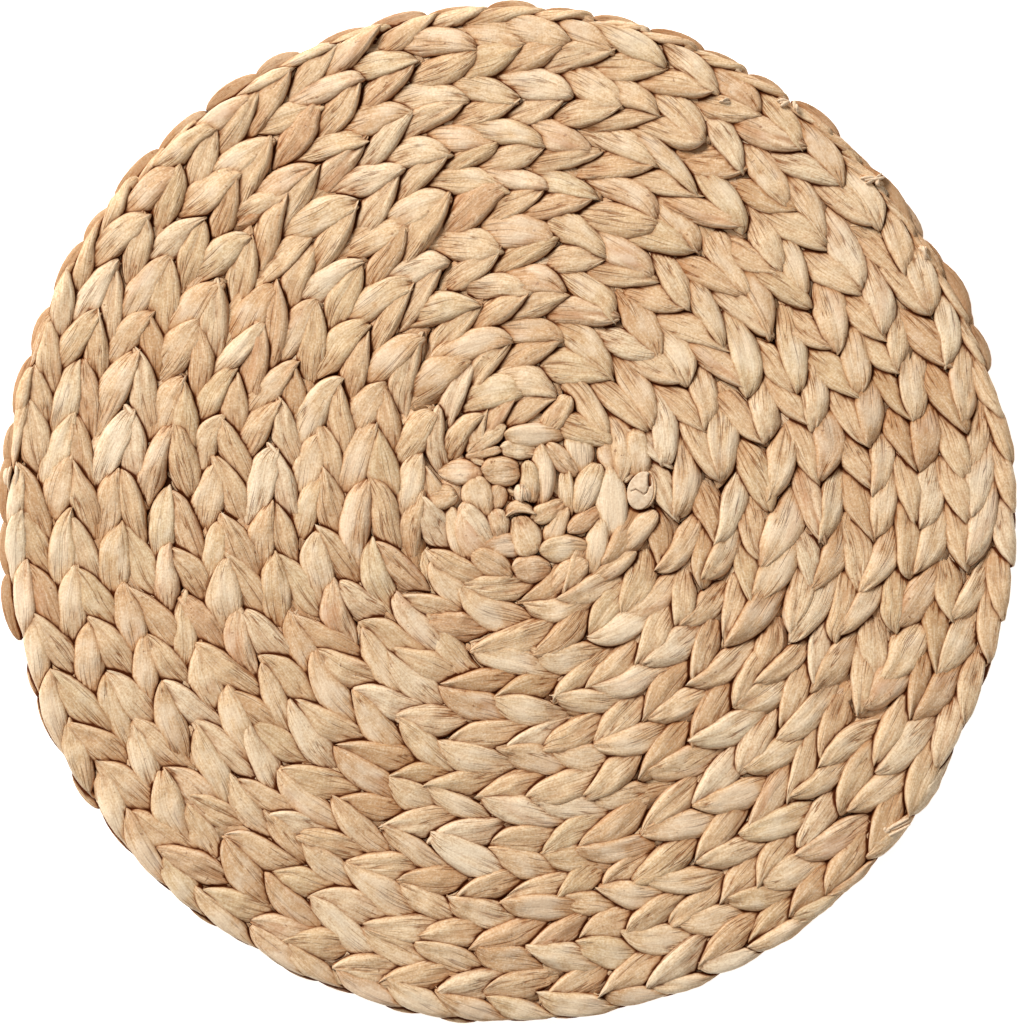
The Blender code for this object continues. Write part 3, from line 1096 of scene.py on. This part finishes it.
def core_mesh():
    """A thin rounded disc inside the rim, closed."""
    points = [(*MIDDLE, HALF_THICK + CORE_HALF)]
    for scale, height in CORE_RINGS:
        for side in range(CORE_SIDES):
            degrees = -360 * side / CORE_SIDES
            spot = MIDDLE + turned(degrees, (round_table(RIM_RADIUS, degrees) - CORE_INSET) * scale)
            points.append((*spot, HALF_THICK + height * CORE_HALF))
    points.append((*MIDDLE, HALF_THICK - CORE_HALF))
    faces = []
    for side in range(CORE_SIDES):
        after = (side + 1) % CORE_SIDES
        faces.append((0, 1 + side, 1 + after))
        for ring in range(len(CORE_RINGS) - 1):
            start = 1 + ring * CORE_SIDES
            below = start + CORE_SIDES
            faces.append((start + side, below + side, below + after, start + after))
        start = 1 + (len(CORE_RINGS) - 1) * CORE_SIDES
        faces.append((start + side, len(points) - 1, start + after))
    mesh = bpy.data.meshes.new("coil_core")
    mesh.from_pydata(points, [], faces)
    return mesh


# Painted shade: the hidden stems are dark brown, and less dark where the core comes near the rim.
def core_material():
    material, graph = bare_material("stem_in_shadow")
    place = graph.add("ShaderNodeTexCoord", None, None, "Object")
    colour = blend(graph, graph.noise(place, 400.0, 2.0), *CORE_SHADE_BROWNS)
    x, y, _ = graph.parts(place)
    near_rim = (x * x + y * y).math("SQRT").between(LIGHTER_FROM, LIGHTER_TO)
    colour = blend(graph, near_rim * 0.8, colour, CORE_LESS_SHADE_AT_RIM)
    settings = {"Base Color": colour, "Roughness": 0.9, "Specular IOR Level": 0.05}
    shader = graph.add("ShaderNodeBsdfPrincipled", None, settings)
    graph.add("ShaderNodeOutputMaterial", None, {"Surface": shader})
    return material


core = placed("coil_core", core_mesh())
core.data.materials.append(core_material())
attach(core, "root")
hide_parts("plaited_mat")

# The studio: a pale, matt floor that glows a little, so that it stays white round the mat, one soft light
# from above the photo's top left, and a white surround that fills the shadows.
FLOOR_SIDE = 3.0
floor_mesh = bpy.data.meshes.new("floor")
reach = FLOOR_SIDE / 2
floor_mesh.from_pydata(
    [(-reach, -reach, 0), (reach, -reach, 0), (reach, reach, 0), (-reach, reach, 0)], [], [(0, 1, 2, 3)]
)
floor = placed("floor", floor_mesh)
floor_material = bpy.data.materials.new("pale_floor")
floor_material.use_nodes = True
floor_shader = floor_material.node_tree.nodes["Principled BSDF"]
floor_shader.inputs["Base Color"].default_value = (0.93, 0.93, 0.93, 1.0)
floor_shader.inputs["Roughness"].default_value = 0.9
floor_shader.inputs["Specular IOR Level"].default_value = 0.1
floor_shader.inputs["Emission Color"].default_value = (1.0, 1.0, 1.0, 1.0)
floor_shader.inputs["Emission Strength"].default_value = 0.72
floor_mesh.materials.append(floor_material)

world = bpy.data.worlds.new("white_surround")
world.use_nodes = True
world.node_tree.nodes["Background"].inputs["Color"].default_value = (1.0, 1.0, 1.0, 1.0)
world.node_tree.nodes["Background"].inputs["Strength"].default_value = 0.36
bpy.context.scene.world = world

light = bpy.data.lights.new("key_light", "AREA")
light.shape = "DISK"
light.size = 1.26
light.energy = 136.0
lamp = placed("key_light", light)
lamp.location = (-1.8, 1.89, 2.07)
lamp.rotation_euler = (-lamp.location).to_track_quat("-Z", "Y").to_euler()

# The camera looks straight down on the middle of the mat with a long lens, and the mat just fills the frame.
# Its height follows from the size of one of the photo's pixels on the mat.
CAMERA_LENS_MM = 135.0
SENSOR_MM = 36.0
METRES_A_PIXEL = 0.3651e-3
PICTURE_HEIGHT = 1024
lens = bpy.data.cameras.new("camera")
lens.lens = CAMERA_LENS_MM
lens.sensor_width = SENSOR_MM
camera = placed("camera", lens)
camera.location = (0, 0, HALF_THICK + PICTURE_HEIGHT * METRES_A_PIXEL * CAMERA_LENS_MM / SENSOR_MM)
bpy.context.scene.camera = camera
bpy.context.scene.view_settings.view_transform = "Standard"
